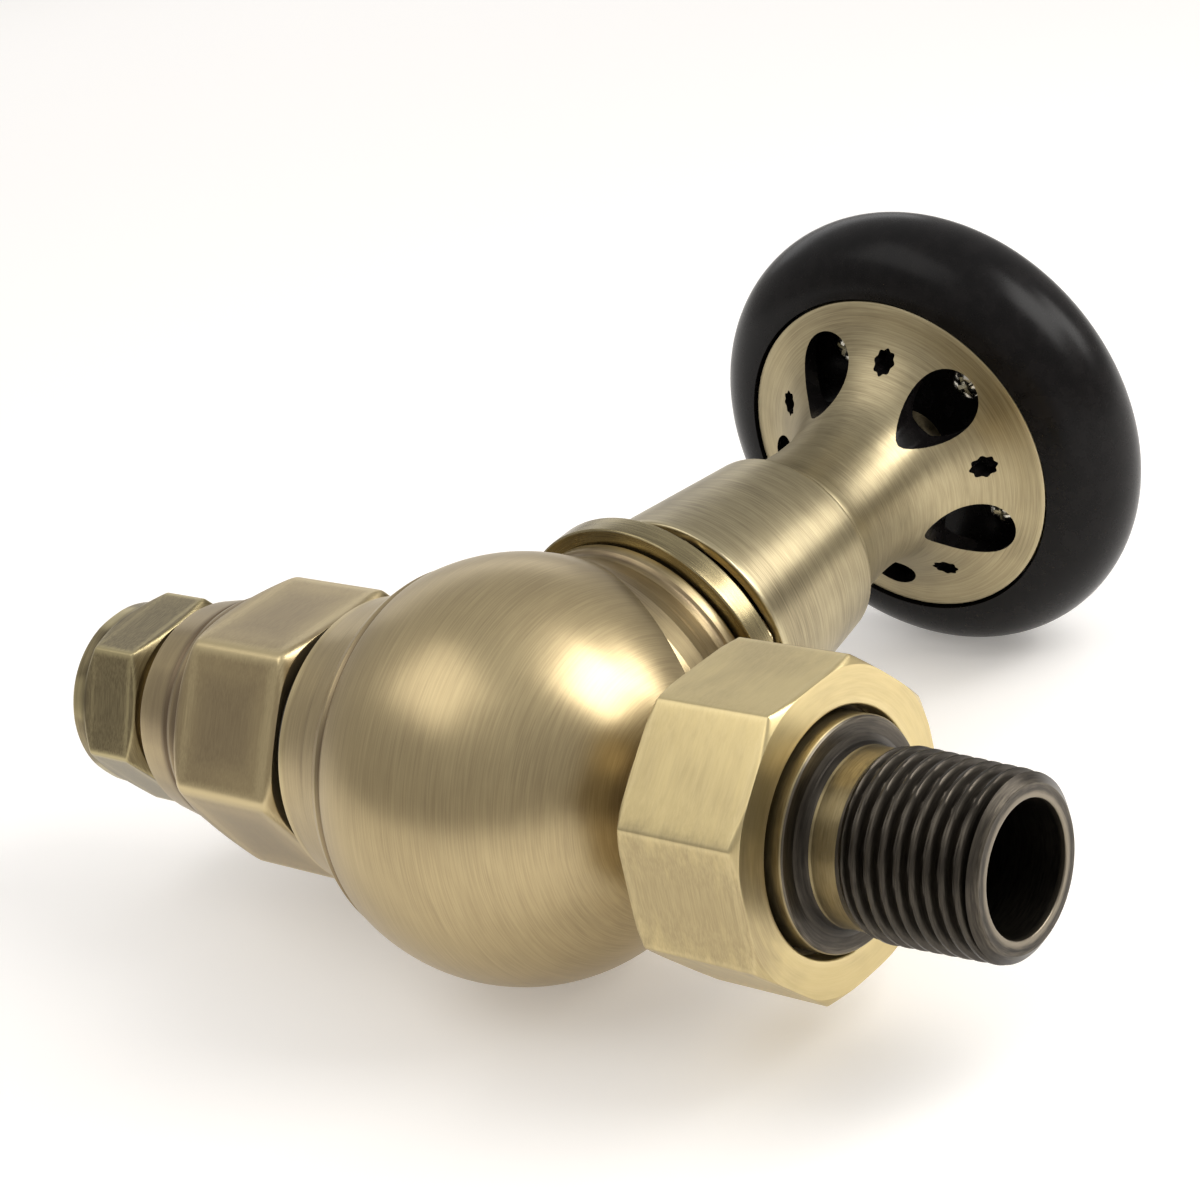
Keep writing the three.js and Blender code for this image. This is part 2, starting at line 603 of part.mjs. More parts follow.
// A pan-head screw with a cross recess, its head towards the valve.
function wheelScrew() {
  const headR = 2.5;
  const headY = WEB_BACK_Y - GAP;
  const headTopY = headY - 1.9;
  const slot = new THREE.BoxGeometry(2.6, 1.8, 0.6).translate(0, headTopY, 0);
  const crossSlot = slot.clone().rotateY(Math.PI / 2);
  const pin = turnY([
    [headTopY, 0], [headTopY, 1.5], [headTopY + 0.6, headR - 0.2], [headTopY + 1, headR],
    [headY, headR], [headY, 1.2], [WEB_FRONT_Y + 2.6, 1.2], [WEB_FRONT_Y + 2.6, 0],
  ], 10);
  return cut(pin, toSolid(slot), toSolid(crossSlot));
}

// Holds the hub down on the spindle, with a plain washer under its head.
function buildHubScrew() {
  const washerTopY = HUB_FLOOR_Y + GAP + 1;
  const headY = washerTopY + GAP;
  const head = cut(rodY(headY, headY + 3, 3.4, SMALL), prismY(6, headY + 1, headY + 4, 1.9, 0));
  return join(head, rodY(HUB_FLOOR_Y - 8, headY + 0.5, 1.6, SMALL));
}

function buildWheel() {
  addNode('wheel_hub', buildHub(), antiqueBrass);
  addNode('wheel_rim', buildRim(), blackLacquer);
  addNode('wheel_cover', buildCover(), antiqueBrass);
  wheelBearings(SMALL_HOLE_TURN + 180 / WHEEL_HOLES).forEach((turn, i) => {
    addNode(`wheel_screw_${i + 1}`, screwAt(turn, wheelScrew()), nickel);
  });
  addNode('hub_washer', turnY([
    [HUB_FLOOR_Y + GAP, 1.9], [HUB_FLOOR_Y + GAP, 5.4],
    [HUB_FLOOR_Y + GAP + 1, 5.4], [HUB_FLOOR_Y + GAP + 1, 1.9],
  ], SMALL), nickel);
  addNode('hub_screw', buildHubScrew(), nickel);
}

// ---------- the whole valve ----------
addNode('valve_body', buildBody(), antiqueBrass);
buildInlet();
buildOutlet();
buildStem();
buildWheel();

// Ball and wheel rim both touch the ground: RIM_Y sin(a) - RIM_CENTRE_R cos(a) = drop.
const drop = RIM_TUBE_R - BALL_R;
const lieAngle = Math.atan2(RIM_CENTRE_R, RIM_Y)
  + Math.asin(drop / Math.hypot(RIM_CENTRE_R, RIM_Y));
valve.rotation.x = lieAngle;

const laidOut = new THREE.Group();
laidOut.add(valve);
const box = new THREE.Box3().setFromObject(laidOut, true);
const middle = box.getCenter(new THREE.Vector3());
valve.position.set(-middle.x, -middle.y, -box.min.z);

export default laidOut;
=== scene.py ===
"""Looks for the radiator valve: brushed antique brass, a blackened threaded tail and a black
handwheel rim.

Every piece is built in the valve's own axes, in millimetres from the ball's centre: X is the flow
axis towards the tail, Y the stem axis towards the handwheel, Z the third. The frame places them.
"""

import json
import math

import bmesh
import bpy
import numpy as np
from mathutils import Matrix, Vector


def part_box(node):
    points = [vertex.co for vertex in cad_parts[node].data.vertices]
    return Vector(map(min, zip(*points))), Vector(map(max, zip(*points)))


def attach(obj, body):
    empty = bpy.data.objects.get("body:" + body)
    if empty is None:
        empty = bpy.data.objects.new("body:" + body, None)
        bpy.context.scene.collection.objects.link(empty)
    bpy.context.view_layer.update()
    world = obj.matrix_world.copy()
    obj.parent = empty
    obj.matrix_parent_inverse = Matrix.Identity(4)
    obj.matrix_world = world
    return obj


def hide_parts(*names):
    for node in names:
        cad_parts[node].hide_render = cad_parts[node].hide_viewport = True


MM = 0.001
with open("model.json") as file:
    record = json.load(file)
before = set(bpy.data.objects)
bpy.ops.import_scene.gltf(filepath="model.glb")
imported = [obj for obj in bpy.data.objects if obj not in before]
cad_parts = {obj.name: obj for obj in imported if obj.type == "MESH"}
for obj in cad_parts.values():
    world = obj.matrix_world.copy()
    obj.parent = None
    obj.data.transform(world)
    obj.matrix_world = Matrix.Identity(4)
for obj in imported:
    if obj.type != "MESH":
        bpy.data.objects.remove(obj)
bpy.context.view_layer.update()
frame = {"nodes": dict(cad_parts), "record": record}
record = frame["record"]
mounts = {m["name"]: m for m in record["mounts"]}
joints = {j["name"]: j for j in record["behaviour"]["joints"]}

FLOW = Vector(mounts["tail_end"]["axis"])
STEM = Vector(joints["wheel_turn"]["axis"]).normalized()
SIDE = FLOW.cross(STEM).normalized()
CENTRE = Vector(mounts["pipework"]["pos_m"])
VALVE = Matrix((FLOW, STEM, SIDE)).transposed().to_4x4()
VALVE.translation = CENTRE


def flow_span(node):
    """A node's ends along the flow axis, in mm from the ball's centre."""
    low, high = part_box(node)
    return (low.x - CENTRE.x) / MM, (high.x - CENTRE.x) / MM


# ---------- sizes, in mm ----------
BALL_R = 25.7
BALL_LEFT = -10.6
PIPE_FACE, _ = flow_span("compression_nut")
_, TAIL_FACE = flow_span("tail")
INLET_FACE, _ = flow_span("valve_body")
UNION_BACK, UNION_FRONT = flow_span("union_nut")
RIM_Y = 88.9
RIM_RING_R = 23.1
RIM_TUBE_R = 8.42
WHEEL_HOLES = 5
FIRST_SMALL_HOLE = math.radians(5)
HOLE_PITCH = 2 * math.pi / WHEEL_HOLES
THREAD_PITCH = 1.814  # the 1/2 inch pipe thread's own, which sets the scale of everything here
THREAD_TAPER = 1 / 32  # the same standard's, as a slope of the radius

SMOOTH = 192  # sides of a large turned piece
KEEP_SHARP = math.radians(32)
EDGE_LIGHT_REACH = 2.6  # how much further than the bright wear the lighter zone along an edge reaches; beyond it the middle of a flat gets a painted dark reflection


# ---------- outlines ----------
def rounded(outline, radius, closed=True, steps=5):
    """Rounds each corner of an outline of (along, radius) points. A third number on a point is its
    own corner radius. Returns (point, sharpness), above 0 on a convex corner, below 0 in a
    hollow."""
    points = [Vector(p[:2]) for p in outline]
    count = len(points)
    area = sum(points[i].cross(points[(i + 1) % count]) for i in range(count))
    made = []
    for i, p in enumerate(points):
        before, after = points[i - 1], points[(i + 1) % count]
        own = outline[i][2] if len(outline[i]) > 2 else radius
        at_end = not closed and i in (0, count - 1)
        a, b = before - p, after - p
        if at_end or own <= 0 or a.length < 1e-6 or b.length < 1e-6:
            made.append((p, 0.0))
            continue
        half = a.angle(b) / 2
        turn = (-a).cross(b) * (1 if area > 0 else -1)
        sharpness = math.cos(half) * (1 if turn > 0 else -1)
        if abs(math.cos(half)) < 0.05:
            made.append((p, sharpness))
            continue
        reach = min(own / math.tan(half), 0.45 * a.length, 0.45 * b.length)
        r = reach * math.tan(half)
        centre = p + (a.normalized() + b.normalized()).normalized() * (r / math.sin(half))
        start, end = p + a.normalized() * reach, p + b.normalized() * reach
        for k in range(steps + 1):
            bearing = (start - centre).slerp(end - centre, k / steps)
            made.append((centre + bearing.normalized() * r, sharpness))
    return made


def densified(points, step, closed=True):
    """Adds points so that no stretch is longer than step."""
    out = []
    last = len(points) if closed else len(points) - 1
    for i in range(last):
        (p, s), (q, _) = points[i], points[(i + 1) % len(points)]
        parts = max(1, math.ceil((q - p).length / step))
        for k in range(parts):
            f = k / parts
            out.append((p.lerp(q, f), s if f == 0 else 0.0))
    if not closed:
        out.append(points[-1])
    return out


def wear_along(points, reach=0.7):
    """Edge wear and dirt of each outline point, fading with distance from the corners."""
    at = np.array([tuple(p) for p, _ in points])
    sharp = np.array([s for _, s in points])
    edge = np.zeros(len(at))
    dirt = np.zeros(len(at))
    for p, s in zip(at, sharp):
        if abs(s) < 0.12:
            continue
        near = np.exp(-(((at - p) ** 2).sum(1)) / reach**2) * min(1.0, abs(s) * 1.3)
        if s > 0:
            edge = np.maximum(edge, near)
        else:
            dirt = np.maximum(dirt, near)
    return edge, dirt


def arc(along, radius, r, start, end, steps):
    """Arc points as (along, radius), angles in degrees from the outward radius."""
    angles = np.radians(np.linspace(start, end, steps + 1))
    return [(along + r * math.sin(a), radius + r * math.cos(a)) for a in angles]


# ---------- meshes ----------
def mesh_object(name, verts, faces, attributes=None):
    """A smooth-shaded object in the valve's own axes, from points in mm."""
    mesh = bpy.data.meshes.new(name)
    mesh.from_pydata([tuple(v) for v in np.asarray(verts) * MM], [], faces)
    mesh.validate()
    mesh.shade_smooth()
    mesh.set_sharp_from_angle(angle=KEEP_SHARP)
    for key, values in (attributes or {}).items():
        layer = mesh.attributes.new(key, "FLOAT", "POINT")
        layer.data.foreach_set("value", np.asarray(values, np.float32))
    obj = bpy.data.objects.new(name, mesh)
    bpy.context.scene.collection.objects.link(obj)
    obj.matrix_world = VALVE
    return obj


def place(axis, along, across, other):
    """Points from a height along an axis and two coordinates across it."""
    return (along, across, other) if axis == "X" else (other, along, across)


def turned(name, outline, axis="X", sides=SMOOTH, fillet=0.25, flats=None, step=None, shape=None,
           bearings=None, wear_reach=0.7):
    """A piece of revolution about an axis. flats = (count, across flats, bearing of a corner in
    degrees, sharpness, blend) cuts flats on it: sharpness is how crisp the corners between two
    flats are, blend how crisply the flats meet the turned shape. bearings replaces the even
    angles. shape changes the radii: shape(along, radii, angles)."""
    points = rounded(outline, fillet)
    if step:
        points = densified(points, step)
    edge, dirt = wear_along(points, wear_reach)
    # near_edge: the wider lighter zone along edges; beyond it brushed() paints a dark reflection on
    # the middle of flats
    near_edge, _ = wear_along(points, EDGE_LIGHT_REACH * wear_reach)
    angles = np.linspace(0, 2 * math.pi, sides, endpoint=False) if bearings is None else bearings
    n = len(angles)
    limit = None
    corner_wear = np.zeros(n)
    corner_halo = np.zeros(n)
    if flats:
        count, across, corner, sharpness, blend = flats
        faces_at = math.radians(corner) + math.pi / count + np.arange(count) * 2 * math.pi / count
        cosines = np.clip(np.cos(angles[:, None] - faces_at[None, :]), 0, None)
        limit = across / 2 / (cosines**sharpness).sum(1) ** (1 / sharpness)
        off_corner = np.abs((angles - math.radians(corner) + math.pi / count)
                            % (2 * math.pi / count) - math.pi / count)
        corner_wear = np.exp(-((off_corner * across / 2 / wear_reach) ** 2))
        # the lighter zone round each corner, which the painted dark reflection in the middle of
        # flats stays out of
        corner_halo = np.exp(-((off_corner * across / 2 / wear_reach / EDGE_LIGHT_REACH) ** 2))
    verts, edges, dirts, halos, rows = [], [], [], [], []
    for i, (p, _) in enumerate(points):
        along, r = p
        if r < 1e-6:
            rows.append([len(verts)])
            verts.append(place(axis, along, 0, 0))
            edges.append(edge[i])
            dirts.append(dirt[i])
            halos.append(near_edge[i])
            continue
        radii = np.full(n, r)
        on_flat = np.zeros(n)
        if limit is not None:
            ratio = np.minimum(r / limit, 1.6)
            radii = r / (1 + ratio**blend) ** (1 / blend)
            on_flat = np.clip((ratio - 0.97) / 0.03, 0, 1)
            meet = np.exp(-(((r - limit) / (0.5 * wear_reach)) ** 2))
            on_edge = np.maximum(meet * 0.8, on_flat * corner_wear)
        else:
            on_edge = np.zeros(n)
        if shape is not None:
            radii = shape(along, radii, angles)
        rows.append(list(range(len(verts), len(verts) + n)))
        for a, rr, worn, halo in zip(angles, radii, on_edge, corner_halo):
            verts.append(place(axis, along, rr * math.cos(a), rr * math.sin(a)))
            edges.append(max(edge[i], worn))
            dirts.append(dirt[i])
            halos.append(max(near_edge[i], halo))
    faces = []
    for i in range(len(rows)):
        a, b = rows[i], rows[(i + 1) % len(rows)]
        if len(a) == 1 and len(b) == 1:
            continue
        for k in range(n):
            m = (k + 1) % n
            if len(a) == 1:
                faces.append((a[0], b[m], b[k]))
            elif len(b) == 1:
                faces.append((a[k], a[m], b[0]))
            else:
                faces.append((a[k], a[m], b[m], b[k]))
    # halo marks where the painted dark reflection in the middle of flats is held off
    obj = mesh_object(name, verts, faces, {"edge": edges, "dirt": dirts, "halo": halos})
    face_outwards(obj)
    return obj


def face_outwards(obj):
    """Turns every face of a closed mesh outwards."""
    mesh = bmesh.new()
    mesh.from_mesh(obj.data)
    bmesh.ops.recalc_face_normals(mesh, faces=mesh.faces)
    mesh.to_mesh(obj.data)
    mesh.free()


FINE_STEPS = (0.0, 0.12, 0.25, 0.4, 0.6, 0.85, 1.2, 1.7, 2.4, 3.4, 5.0)  # degrees off a corner


def corner_bearings(count, corner):
    """Angles round a nut, close together at its corners."""
    pitch = 360 / count
    middle = np.arange(7.0, pitch / 2, 1.6)
    half = np.concatenate([FINE_STEPS, middle])
    one = np.concatenate([-half[:0:-1], half])
    every = np.concatenate([corner + pitch * k + one for k in range(count)])
    return np.radians(np.sort(every % 360))


def cut_with(obj, cutters):
    """Takes the cutters' shapes out of obj."""
    for cutter in cutters:
        modifier = obj.modifiers.new("cut", "BOOLEAN")
        modifier.operation = "DIFFERENCE"
        modifier.solver = "EXACT"
        modifier.object = cutter
    graph = bpy.context.evaluated_depsgraph_get()
    mesh = bpy.data.meshes.new_from_object(obj.evaluated_get(graph))
    obj.modifiers.clear()
    obj.data = mesh
    mesh.shade_smooth()
    mesh.set_sharp_from_angle(angle=KEEP_SHARP)
    for cutter in cutters:
        bpy.data.objects.remove(cutter)
    return obj


def prism_along_stem(outline, bottom, top):
    """A closed prism from an outline of (x, z) points, for cutting."""
    n = len(outline)
    verts = [(x, y, z) for y in (bottom, top) for x, z in outline]
    faces = [tuple(range(n)), tuple(range(2 * n - 1, n - 1, -1))]
    faces += [(k, n + k, n + (k + 1) % n, (k + 1) % n) for k in range(n)]
    obj = mesh_object("cutter", verts, faces)
    face_outwards(obj)
    return obj


def add(obj, body, material, slot, *nodes):
    """Moves a piece to its place, with its material, its body and the CAD nodes it stands for."""
    if material:
        obj.data.materials.clear()
        obj.data.materials.append(material)
    obj.data.transform(VALVE)
    obj.matrix_world = Matrix.Identity(4)
    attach(obj, body)
    if nodes:
        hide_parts(*nodes)
    return obj


# ---------- materials ----------
class Nodes:
    """A short way to write a node tree."""

    def __init__(self, name):
        self.material = bpy.data.materials.new(name)
        self.material.use_nodes = True
        self.tree = self.material.node_tree
        self.shader = self.tree.nodes["Principled BSDF"]

    def new(self, kind, **settings):
        node = self.tree.nodes.new("ShaderNode" + kind)
        for key, value in settings.items():
            setattr(node, key, value)
        return node

    def link(self, output, socket):
        self.tree.links.new(output, socket)

    def feed(self, value, socket):
        if isinstance(value, (int, float, tuple)):
            socket.default_value = value
        else:
            self.link(value, socket)

    def math(self, operation, a, b=0.0, clamp=False):
        node = self.new("Math", operation=operation, use_clamp=clamp)
        self.feed(a, node.inputs[0])
        self.feed(b, node.inputs[1])
        return node.outputs[0]

    def ramp(self, value, low, high):
        """Value from low to high becomes 0 to 1, smoothly."""
        node = self.new("MapRange", interpolation_type="SMOOTHSTEP")
        self.feed(value, node.inputs["Value"])
        node.inputs["From Min"].default_value = low
        node.inputs["From Max"].default_value = high
        return node.outputs["Result"]

    def mix(self, amount, a, b):
        node = self.new("Mix", data_type="RGBA")
        self.feed(amount, node.inputs["Factor"])
        self.feed(a, node.inputs["A"])
        self.feed(b, node.inputs["B"])
        return node.outputs["Result"]

    def attribute(self, name):
        return self.new("Attribute", attribute_name=name).outputs["Fac"]

    def noise(self, vector, scale, detail=3.0, w=None, roughness=0.55):
        node = self.new("TexNoise", noise_dimensions="3D" if w is None else "4D")
        node.inputs["Scale"].default_value = scale
        node.inputs["Detail"].default_value = detail
        node.inputs["Roughness"].default_value = roughness
        self.feed(vector, node.inputs["Vector"])
        if w is not None:
            self.feed(w, node.inputs["W"])
        return node.outputs["Fac"]

    def from_ball(self):
        """The vector from the ball's centre, in metres, in the frame's axes."""
        node = self.new("VectorMath", operation="SUBTRACT")
        self.link(self.new("TexCoord").outputs["Object"], node.inputs[0])
        node.inputs[1].default_value = CENTRE
        return node.outputs[0]

    def dot(self, vector, direction):
        node = self.new("VectorMath", operation="DOT_PRODUCT")
        self.link(vector, node.inputs[0])
        node.inputs[1].default_value = direction
        return node.outputs["Value"]

    def vector(self, x, y, z):
        node = self.new("CombineXYZ")
        for value, socket in zip((x, y, z), node.inputs):
            self.feed(value, socket)
        return node.outputs[0]


def rgb(r, g, b):
    return (r, g, b, 1.0)


def round_the_axis(nodes, axis):
    """The valve's coordinates in mm as (position, along, radius, cosine, sine) about an axis."""
    x, y, z = (nodes.dot(nodes.from_ball(), direction / MM) for direction in (FLOW, STEM, SIDE))
    along, p, q = (x, y, z) if axis == "X" else (y, z, x)
    radius = nodes.math("SQRT", nodes.math("ADD", nodes.math("MULTIPLY", p, p),
                                           nodes.math("MULTIPLY", q, q)))
    safe = nodes.math("MAXIMUM", radius, 0.001)
    return (nodes.vector(x, y, z), along, radius, nodes.math("DIVIDE", p, safe),
            nodes.math("DIVIDE", q, safe))


def brush_tangent(nodes, axis):
    """The direction of turning marks about an axis, for the stretched highlights."""
    cross = nodes.new("VectorMath", operation="CROSS_PRODUCT")
    cross.inputs[0].default_value = FLOW if axis == "X" else STEM
    nodes.link(nodes.from_ball(), cross.inputs[1])
    to_world = nodes.new("VectorTransform", vector_type="VECTOR", convert_from="OBJECT",
                         convert_to="WORLD")
    nodes.link(cross.outputs[0], to_world.inputs[0])
    unit = nodes.new("VectorMath", operation="NORMALIZE")
    nodes.link(to_world.outputs[0], unit.inputs[0])
    nodes.link(unit.outputs[0], nodes.shader.inputs["Tangent"])
    nodes.shader.inputs["Anisotropic Rotation"].default_value = 0.25


def brushed(name, axis, base, bright, dark, roughness=0.3, fineness=5.0, streak=4.0, bump=0.35,
            patina=0.35, patina_scale=0.09, anisotropy=0.6, contrast=0.3, painted_centre_shade=0.0, wear=0.85,
            darker_side=None):
    """Brushed, aged metal with marks running round an axis, bright edges and dark hollows. The
    middle of each flat, away from its edges, gets a painted dark reflection, set by one argument.
    The last argument is the bearing, in degrees from +Y, of a side that is coloured darker."""
    nodes = Nodes(name)
    position, along, radius, cosine, sine = round_the_axis(nodes, axis)

    def marks(fine, length, detail):
        vector = nodes.vector(nodes.math("MULTIPLY", along, fine),
                              nodes.math("MULTIPLY", radius, fine),
                              nodes.math("MULTIPLY", cosine, length))
        return nodes.noise(vector, 1.0, detail, nodes.math("MULTIPLY", sine, length), 0.6)

    fine_marks = marks(fineness, streak, 3.0)
    broad_marks = marks(fineness * 0.16, streak * 0.7, 2.0)
    cloud = nodes.noise(position, patina_scale, 3.0)
    edge = nodes.attribute("edge")
    dirt = nodes.attribute("dirt")

    aged = nodes.math("MULTIPLY", nodes.ramp(nodes.math(
        "ADD", nodes.math("MULTIPLY", broad_marks, 0.3), nodes.math("MULTIPLY", cloud, 0.7)),
        0.38, 0.66), patina)
    # Painted shade: the middle of flats, away from their edges, is painted darker as a dark
    # reflection.
    far_from_edge = nodes.math("SUBTRACT", 1.0, nodes.attribute("halo"))
    far_from_edge = nodes.math("ADD", far_from_edge, nodes.math(
        "MULTIPLY", nodes.math("SUBTRACT", cloud, 0.5), 0.8))
    centre = nodes.math("MULTIPLY", nodes.ramp(far_from_edge, 0.15, 1.0), painted_centre_shade)
    darkened = nodes.math("MAXIMUM", aged, centre)
    # One side, at the given bearing round the axis, is coloured darker.
    if darker_side is not None:
        bearing = math.radians(darker_side)
        facing = nodes.math("ADD", nodes.math("MULTIPLY", cosine, math.cos(bearing)),
                            nodes.math("MULTIPLY", sine, math.sin(bearing)))
        side = nodes.math("ADD", facing, nodes.math(
            "MULTIPLY", nodes.math("SUBTRACT", broad_marks, 0.5), 0.25))
        darkened = nodes.math("MAXIMUM", darkened, nodes.math(
            "MULTIPLY", nodes.ramp(side, 0.82, 1.0), 0.75))
    colour = nodes.mix(darkened, base, dark)
    streaks = nodes.math("MULTIPLY", nodes.ramp(fine_marks, 0.3, 0.72), contrast)
    colour = nodes.mix(streaks, colour, bright)
    worn = nodes.ramp(nodes.math("ADD", edge, nodes.math(
        "MULTIPLY", nodes.math("SUBTRACT", fine_marks, 0.5), 0.5)), 0.25, 0.95)
    colour = nodes.mix(nodes.math("MULTIPLY", worn, wear), colour, bright)
    grime = nodes.ramp(nodes.math("ADD", dirt, nodes.math(
        "MULTIPLY", nodes.math("SUBTRACT", cloud, 0.5), 0.4)), 0.1, 0.9)
    colour = nodes.mix(nodes.math("MULTIPLY", grime, 0.9), colour, dark)
    nodes.link(colour, nodes.shader.inputs["Base Color"])

    rough = nodes.math("ADD", roughness - 0.06, nodes.math("MULTIPLY", fine_marks, 0.1))
    rough = nodes.math("ADD", rough, nodes.math("MULTIPLY", grime, 0.18))
    rough = nodes.math("ADD", rough, nodes.math("MULTIPLY", cloud, 0.05))
    nodes.link(rough, nodes.shader.inputs["Roughness"])
    nodes.shader.inputs["Metallic"].default_value = 1.0
    nodes.shader.inputs["Anisotropic"].default_value = anisotropy
    brush_tangent(nodes, axis)
    node = nodes.new("Bump")
    node.inputs["Strength"].default_value = bump
    node.inputs["Distance"].default_value = 0.02 * MM
    nodes.link(fine_marks, node.inputs["Height"])
    nodes.link(node.outputs[0], nodes.shader.inputs["Normal"])
    return nodes.material


def plain(name, base, other, roughness, metallic=0.0, scale=0.4, bump=0.2, specular=0.5):
    """A surface with a fine mottle: rubber, packing, lacquer, plated or raw metal."""
    nodes = Nodes(name)
    position = round_the_axis(nodes, "X")[0]
    cloud = nodes.noise(position, scale, 4.0)
    fine = nodes.noise(position, 6.0, 2.0)
    nodes.link(nodes.mix(nodes.ramp(cloud, 0.35, 0.7), base, other),
               nodes.shader.inputs["Base Color"])
    rough = nodes.math("ADD", roughness - 0.05, nodes.math("MULTIPLY", cloud, 0.1))
    nodes.link(rough, nodes.shader.inputs["Roughness"])
    nodes.shader.inputs["Metallic"].default_value = metallic
    nodes.shader.inputs["Specular IOR Level"].default_value = specular
    node = nodes.new("Bump")
    node.inputs["Strength"].default_value = bump
    node.inputs["Distance"].default_value = 0.01 * MM
    nodes.link(fine, node.inputs["Height"])
    nodes.link(node.outputs[0], nodes.shader.inputs["Normal"])
    return nodes.material


ANTIQUE = dict(base=rgb(0.42, 0.33, 0.185), bright=rgb(0.62, 0.51, 0.29),
               dark=rgb(0.15, 0.11, 0.075))
LIGHT = dict(base=rgb(0.61, 0.495, 0.25), bright=rgb(0.74, 0.62, 0.35),
             dark=rgb(0.30, 0.235, 0.135))
OLIVE = dict(base=rgb(0.235, 0.19, 0.105), bright=rgb(0.52, 0.44, 0.24),
             dark=rgb(0.06, 0.047, 0.03))
STEM_BRASS = dict(base=rgb(0.36, 0.30, 0.18), bright=rgb(0.60, 0.52, 0.33),
                  dark=rgb(0.11, 0.086, 0.055))
GUNMETAL = dict(base=rgb(0.055, 0.048, 0.040), bright=rgb(0.26, 0.225, 0.17),
                dark=rgb(0.010, 0.009, 0.008))
BRONZE = dict(base=rgb(0.25, 0.20, 0.105), bright=rgb(0.46, 0.38, 0.22),
              dark=rgb(0.035, 0.028, 0.02))

ball_brass = brushed("ball_brass", "X", **ANTIQUE, roughness=0.31, patina=0.2, fineness=6.5,
                     streak=3.0, contrast=0.42)
boss_brass = brushed("boss_brass", "Y", **ANTIQUE, roughness=0.29, patina=0.7, contrast=0.35)
hex_brass = brushed("hex_brass", "X", **ANTIQUE, roughness=0.31, patina=0.25, patina_scale=0.05,
                    contrast=0.2, painted_centre_shade=0.45)
union_brass = brushed("union_brass", "X", **LIGHT, roughness=0.33, patina=0.45,
                      patina_scale=0.06, contrast=0.25, wear=0.3, darker_side=178)
pipe_nut_brass = brushed("pipe_nut_brass", "X", **OLIVE, roughness=0.3, patina=0.3, contrast=0.3,
                         painted_centre_shade=0.3)
ring_brass = brushed("ring_brass", "Y", **OLIVE, roughness=0.25, patina=0.5, wear=0.5)
bonnet_brass = brushed("bonnet_brass", "Y", **ANTIQUE, roughness=0.25, patina=0.5)
shroud_brass = brushed("shroud_brass", "Y", **STEM_BRASS, roughness=0.3, patina=0.5,
                       fineness=6.5, streak=2.5, contrast=0.5, wear=0.5)
hub_brass = brushed("hub_brass", "Y", **STEM_BRASS, roughness=0.36, patina=0.4, fineness=6.5,
                    streak=3.0, contrast=0.45)
tail_bronze = brushed("tail_bronze", "X", **BRONZE, roughness=0.34, patina=0.7, patina_scale=0.12)
tail_metal = brushed("tail_metal", "X", **GUNMETAL, roughness=0.34, patina=0.5, contrast=0.15,
                     anisotropy=0.3)
black_lacquer = plain("black_lacquer", rgb(0.004, 0.0035, 0.0035), rgb(0.007, 0.006, 0.006), 0.27,
                      specular=0.14)
nickel = plain("nickel", rgb(0.74, 0.72, 0.64), rgb(0.60, 0.57, 0.49), 0.16, 1.0)
raw_brass = plain("raw_brass", rgb(0.72, 0.58, 0.29), rgb(0.52, 0.40, 0.18), 0.3, 1.0)
rubber = plain("rubber", rgb(0.018, 0.018, 0.018), rgb(0.03, 0.03, 0.03), 0.75)
packing = plain("packing", rgb(0.74, 0.71, 0.63), rgb(0.6, 0.57, 0.5), 0.8)


# ---------- body ----------
def build_body():
    flat = Vector((0.352, 0.93, -0.11)).normalized()
    flat_distance = 14.1
    left = math.degrees(math.asin(BALL_LEFT / BALL_R))
    ball = turned("ball", [
        (INLET_FACE, 13.6), (INLET_FACE, 17.9, 0.35), (-22.6, 17.95), (-17.8, 19.2, 0.8),
        (-17.2, 19.9), (-14.6, 20.7, 0.4), (-13.6, 21.5, 0.3), (-13.2, 22.2, 0.3),
        (-12.0, 22.9, 0.3), (-11.5, 22.7, 0.2), (-11.1, 23.0, 0.1),
        *arc(0, 0, BALL_R, left, 89.999, 60)[:-1], (BALL_R, 0),
        (INLET_FACE + 8, 0), (INLET_FACE + 8, 13.6),
    ], fillet=0.0, step=0.8, sides=SMOOTH)
    mesh = bmesh.new()
    mesh.from_mesh(ball.data)
    cut = bmesh.ops.bisect_plane(mesh, geom=mesh.verts[:] + mesh.edges[:] + mesh.faces[:],
                                 plane_co=flat * flat_distance * MM, plane_no=flat,
                                 clear_outer=True)
    rim = [e for e in cut["geom_cut"] if isinstance(e, bmesh.types.BMEdge)]
    bmesh.ops.holes_fill(mesh, edges=rim)
    mesh.to_mesh(ball.data)
    mesh.free()
    chamber = turned("chamber", [
        (-16, 0), (-16, 8.5), (-1.5, 8.5), (-1.5, 7), (2, 7), (2, 10.2), (10, 10.2), (10, 13.4),
        (30, 13.4), (30, 0),
    ], "Y", fillet=0.0, sides=96)
    outlet = turned("outlet", [(14, 0), (14, 8), (30, 8), (30, 0)], fillet=0.0, sides=96)
    cut_with(ball, [chamber, outlet])
    add(ball, "valve", ball_brass, "antique_brass", "valve_body")

    boss = turned("stem_boss", [
        (6, 13.5), (6, 21.6), (12, 21.2), (15.2, 20.3), (17.2, 19.2, 1.0), (18.2, 18.3, 0.6),
        (19.0, 17.9, 0.6), (20.6, 17.2, 1.5), (21.8, 17.0, 0.5), (22.2, 17.35, 0.15),
        (23.7, 17.4, 0.3), (23.7, 13.5),
    ], "Y", fillet=0.2, step=0.8)
    add(boss, "valve", boss_brass, "antique_brass", "valve_body")

    spigot = turned("spigot", [
        (15, 8), (15, 10), (26, 10, 1.0), (28, 12.4, 1.0), (29.4, 16, 0.3), (37.2, 16), (38, 15.2),
        (38, 8),
    ], fillet=0.2)
    add(spigot, "valve", ball_brass, "antique_brass", "valve_body")


